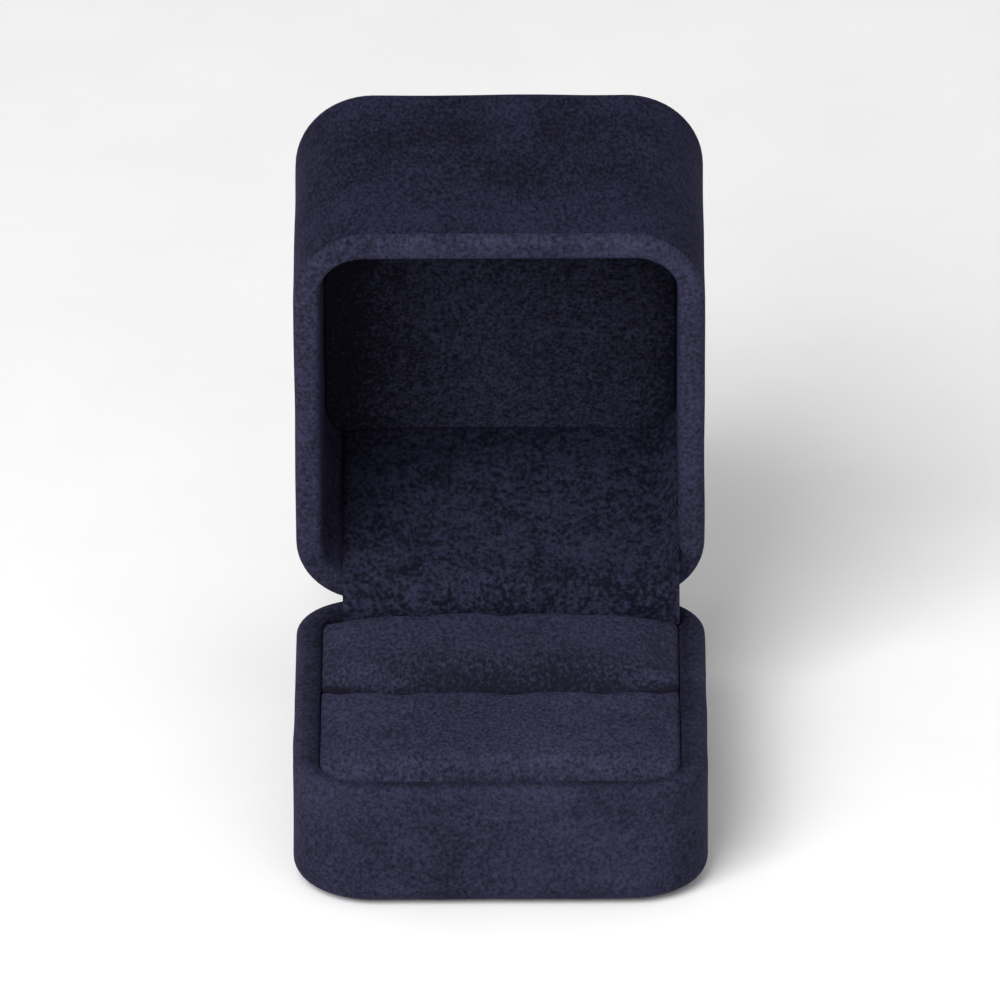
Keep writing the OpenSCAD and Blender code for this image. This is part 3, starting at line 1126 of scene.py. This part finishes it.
@dataclass
class Lid:
    """The lid: moulded shell, suede skin, top card with its lining, and back card."""

    box: Box
    finishes: Finishes
    edge: float = 3.5 * MM
    # Thickness of the lid's top with its skin
    top: float = 2.35 * MM

    def build(self) -> None:
        """Make the lid's pieces and dress its CAD nodes."""
        pose = self.box.lid_pose()
        height = self.box.closed_heights("lid_wrap")[1] - self.box.split
        middle = self.box.width / 2 - 3 * MM
        skin = SuedeSkin(self.box, "lid_suede_skin", height, self.edge, height - self.top, middle, 1)
        piece = skin.build(ring=False)
        roughen(piece, 0.12 * MM, 11 * MM, 6.4, still=self.box.split)
        skin.cut_hinge(piece, "lid_hinge_leaf")
        # What parts the closed lid's inside from the outside of its top
        ceiling = self.box.closed_heights("lid_top_card")[1] + 0.5 * MM
        # Painted light: the lid's outside gets the darker suede and its rim and inside the lighter one, and
        # the inside of its walls painted shade
        self.paint(piece, ceiling)
        paint_shade_and_highlight(piece, lambda p: self.painted_light(p, ceiling))
        piece.data.transform(pose)
        piece.data.shade_smooth()
        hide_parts("lid_wrap")
        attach(piece, "lid")
        run = skin.flat_length() - middle
        cut = self.box.width * self.box.depth + self.box.girth() * run
        self.lining(pose)
        for node, finish in (
            ("lid_shell", Finish.MOULDED_ABS),
            ("lid_top_card", Finish.PRESSED_CARD),
            ("lid_back_card", Finish.PRESSED_CARD),
        ):
            self.finishes.dress(frame["nodes"][node], finish)
        log.info("lid: skin with %d faces", len(piece.data.polygons))

    def painted_light(self, p: Vector, ceiling: float) -> float:
        """Painted shade on the closed lid: dark on the inside of its walls, below a ceiling."""
        if p.z > ceiling:
            return 0.0
        inside = max(0.0, min(1.0, (self.box.inset_of(p) - self.box.wall / 2) / (0.5 * MM)))
        deep = max(0.0, min(1.0, (p.z - self.box.split - 0.5 * MM) / (2.0 * MM)))
        return -0.04 * inside * deep

    def paint(self, piece: bpy.types.Object, ceiling: float) -> None:
        """Give the lid's outside the darker copy of the suede, painted shade, and its rim and inside the
        lighter copy, painted light.

        Args:
            piece: the lid's skin, in its closed place.
            ceiling: the height above which everything is outside.
        """
        piece.data.materials.clear()
        piece.data.materials.append(self.finishes.made[Finish.SHADED_LID_SUEDE])
        piece.data.materials.append(self.finishes.made[Finish.LIT_RIM_SUEDE])
        for face in piece.data.polygons:
            c = face.center
            low = c.z - self.box.split
            inside = self.box.inset_of(c) > self.box.wall / 2 and c.z < ceiling
            face.material_index = 1 if inside or low < self.box.rim_outer else 0

    def lining(self, pose: Matrix) -> None:
        """Make the padded-looking panel inside the lid's top.

        Args:
            pose: the turn from the closed lid to the open one.
        """
        low, high = self.box.closed_heights("lid_top_lining")
        inset = self.box.wall + 0.1 * MM
        panel = Panel(self.box, "lid_top_lining_suede", inset, high, low, crown=0.25 * MM, bevel=0.4 * MM)
        piece = panel.build(self.box.inner_corner)
        # Painted light on the top lining: lightest low in the middle, painted shade towards its edges
        paint_shade_and_highlight(piece, self.top_painted_light)
        piece.data.transform(pose)
        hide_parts("lid_top_lining")
        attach(piece, "lid")
        self.finishes.dress(piece, Finish.LIT_TOP_SUEDE)

    def top_painted_light(self, p: Vector) -> float:
        """Painted light on the top lining: lightest low in the middle, painted shade towards the sides, the
        front and the front left.
        """
        side = min(1.0, abs(p.x - 2 * MM) / (22 * MM))
        front = max(0.0, min(1.0, 0.5 - p.y / self.box.depth))
        left = max(0.0, -p.x / (22 * MM))
        return 0.02 - 0.08 * side**2 - 0.3 * side**8 - 0.08 * front**2 - 0.12 * left * front


@dataclass
class Hinge:
    """The snap hinge: its CAD nodes keep their shape and get their metals."""

    finishes: Finishes
    plated: tuple[str, ...] = (
        "base_hinge_leaf",
        "base_hinge_rivets",
        "hinge_pin",
        "lid_hinge_leaf",
        "lid_hinge_rivets",
    )
    spring: str = "snap_spring"

    def build(self) -> None:
        """Dress the hinge's CAD nodes."""
        for node in self.plated:
            self.finishes.dress(frame["nodes"][node], Finish.PLATED_STEEL)
        self.finishes.dress(frame["nodes"][self.spring], Finish.SPRING_STEEL)
        log.info("hinge: %d CAD nodes dressed", len(self.plated) + 1)


# ---------------------------------------------------------------- studio


@dataclass
class Studio:
    """A pale floor, soft lights and the camera."""

    aim: Vector = field(default_factory=lambda: Vector((0.0, 0.020, 0.0363)))
    distance: float = 2.2
    elevation: float = 25.3
    azimuth: float = -0.2
    roll: float = 0.3
    # Width of the view at the aim point
    view_width: float = 134.1 * MM
    # Half the floor's side
    floor_half: float = 6.0
    sky: float = 0.45

    def camera(self) -> None:
        """Place the camera at the front, looking down on the open box."""
        data = bpy.data.cameras.new("camera")
        data.sensor_width = 36.0
        data.lens = data.sensor_width * self.distance / self.view_width
        data.clip_end = 20.0
        camera = bpy.data.objects.new("camera", data)
        e, a = math.radians(self.elevation), math.radians(self.azimuth)
        away = Vector((-math.sin(a) * math.cos(e), -math.cos(a) * math.cos(e), math.sin(e)))
        camera.location = self.aim + away * self.distance
        turn = (-away).to_track_quat("-Z", "Y").to_matrix().to_4x4()
        camera.matrix_world = (
            Matrix.Translation(camera.location) @ turn @ Matrix.Rotation(math.radians(-self.roll), 4, "Z")
        )
        bpy.context.scene.collection.objects.link(camera)
        bpy.context.scene.camera = camera

    def light(self, name: str, place: Vector, size: float, watts: float) -> None:
        """Add one soft square light that faces the box.

        Args:
            name: the light's name.
            place: where it hangs, in metres.
            size: its side, in metres.
            watts: its power.
        """
        data = bpy.data.lights.new(name, "AREA")
        data.size = size
        data.energy = watts
        lamp = bpy.data.objects.new(name, data)
        lamp.location = place
        lamp.rotation_euler = (place - self.aim).to_track_quat("Z", "Y").to_euler()
        bpy.context.scene.collection.objects.link(lamp)

    def build(self) -> None:
        """Make the floor, the lights, the sky and the camera."""
        half = self.floor_half
        corners = [(-half, -half, 0), (half, -half, 0), (half, half, 0), (-half, half, 0)]
        floor = new_piece("pale_floor", corners, [(0, 1, 2, 3)], smooth=False)
        paint = Plain("pale_matt_floor", "#f9f9f9", "#fcfcfc", 0.9, 30.0, 0.01)
        dress(floor, paint.material())
        self.light("key_softbox", Vector((-0.45, -0.85, 0.85)), 0.8, 17.5)
        self.light("front_fill", Vector((0.40, -1.10, 0.45)), 0.7, 2.5)
        world = bpy.data.worlds.new("studio")
        world.use_nodes = True
        background = world.node_tree.nodes["Background"]
        background.inputs["Color"].default_value = linear("#ffffff")
        background.inputs["Strength"].default_value = self.sky
        bpy.context.scene.world = world
        bpy.context.scene.view_settings.view_transform = "Standard"
        self.camera()


def main() -> None:
    """Build the ring box and its studio."""
    logging.basicConfig(level=logging.INFO, format="%(name)s: %(message)s")
    Studio().build()
    box = Box()
    finishes = Finishes()
    Base(box, finishes).build()
    RingRolls(box, finishes).build()
    Hinge(finishes).build()
    Lid(box, finishes).build()
    HingeLiner(box, finishes).build()


if __name__ == "__main__":
    main()
